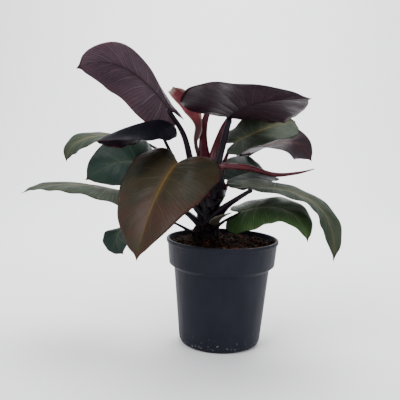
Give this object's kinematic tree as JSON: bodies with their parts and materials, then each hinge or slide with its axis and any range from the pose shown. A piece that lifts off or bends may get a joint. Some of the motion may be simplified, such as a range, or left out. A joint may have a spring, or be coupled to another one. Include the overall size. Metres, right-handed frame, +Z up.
{
  "type": "potted philodendron",
  "caption": "Self-heading philodendron with heart-shaped burgundy and green leaves, a rolled cherry red new leaf and a round nursery pot.",
  "frame": {"origin": "centre of the face that the pot stands on", "axes": "+Z up out of the pot, -Y towards the side that the rolled new leaf and the front leaf are on"},
  "size_m": [0.4873, 0.3272, 0.4431],
  "materials": {
    "pot": "smooth satin moulded surface",
    "soil": "loose damp bark and coir",
    "stem": "rough, dark",
    "leaf_burgundy": "glossy upper face, satin underside",
    "leaf_near_black": "glossy",
    "leaf_bronze": "glossy",
    "leaf_green": "glossy",
    "leaf_deep_green": "glossy",
    "leaf_sage": "glossy",
    "petiole_red": "glossy",
    "petiole_dark": "glossy",
    "new_leaf": "glossy",
    "cataphyll": "satin, thin",
    "bract": "satin, dry"
  },
  "bodies": {
    "root": {"pot": "pot", "stem": "stem", "soil": "soil", "leaf_upper_left": "leaf_burgundy", "petiole_upper_left": "petiole_dark", "leaf_upper_right": "leaf_burgundy", "petiole_upper_right": "petiole_dark", "leaf_mid_left": "leaf_near_black", "petiole_mid_left": "petiole_dark", "leaf_far_left": "leaf_sage", "petiole_far_left": "petiole_dark", "leaf_front": "leaf_bronze", "petiole_front": "petiole_red", "leaf_left": "leaf_deep_green", "petiole_left": "petiole_dark", "leaf_low_left": "leaf_sage", "petiole_low_left": "petiole_dark", "leaf_low_front_left": "leaf_deep_green", "petiole_low_front_left": "petiole_dark", "leaf_right_behind": "leaf_sage", "petiole_right_behind": "petiole_red", "leaf_right_drooping": "leaf_burgundy", "petiole_right_drooping": "petiole_dark", "leaf_low_right": "leaf_sage", "petiole_low_right": "petiole_dark", "leaf_right_inner": "leaf_deep_green", "petiole_right_inner": "petiole_dark", "leaf_low_front_right": "leaf_green", "petiole_low_front_right": "petiole_dark", "leaf_back_left": "leaf_burgundy", "petiole_back_left": "petiole_red", "leaf_back_right": "leaf_bronze", "petiole_back_right": "petiole_red", "new_leaf": "new_leaf", "cataphyll": "cataphyll", "bract": "bract"}
  },
  "joints": []
}
